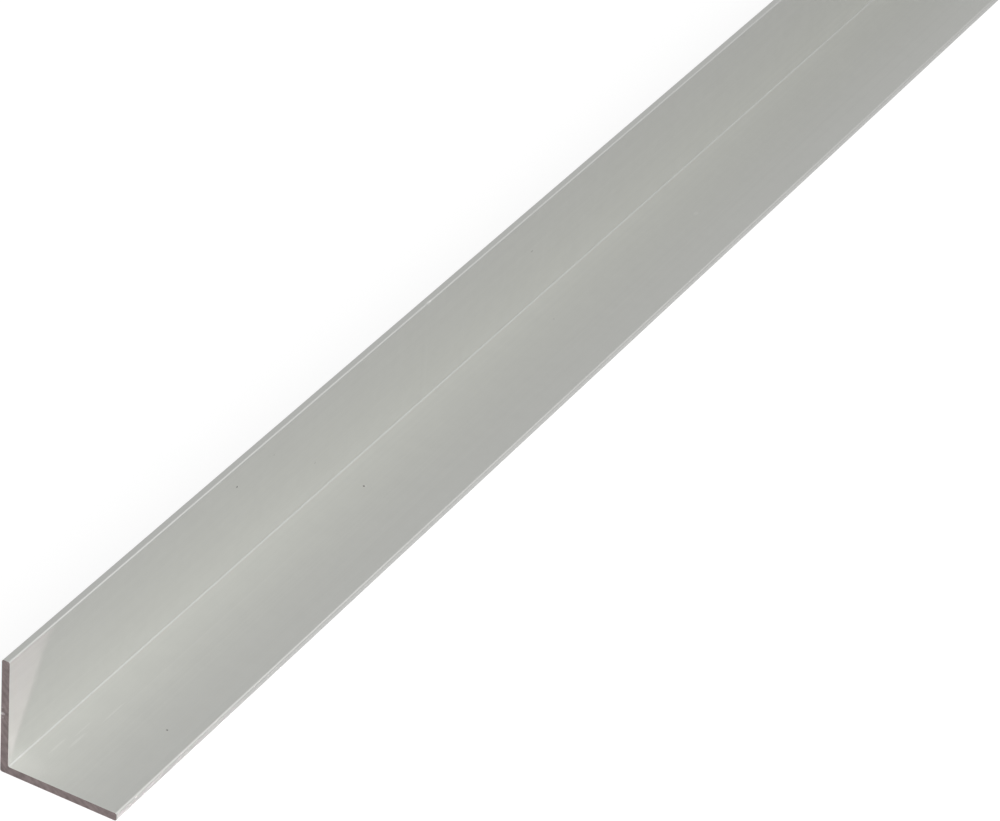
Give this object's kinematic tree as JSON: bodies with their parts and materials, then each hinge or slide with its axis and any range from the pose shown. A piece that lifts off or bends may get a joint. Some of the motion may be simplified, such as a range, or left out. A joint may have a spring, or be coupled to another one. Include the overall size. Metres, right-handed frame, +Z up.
{
  "type": "metal angle section",
  "caption": "Equal-leg extruded aluminium angle of even wall thickness, with rounded edges and square sawn ends, for framing, edging and brackets.",
  "frame": {"origin": "middle of the stock's length and of the flat leg's width, on the underside of the flat leg", "axes": "+Y along the stock, +X across the flat leg from the heel to the toe, +Z up along the upright leg, which stands on the -X side"},
  "size_m": [0.03, 1, 0.03],
  "materials": {
    "anodised_aluminium": "satin, silver anodised, with faint lines along the extrusion and bare metal on the sawn ends"
  },
  "bodies": {
    "root": {"angle_section": "anodised_aluminium"}
  },
  "joints": []
}
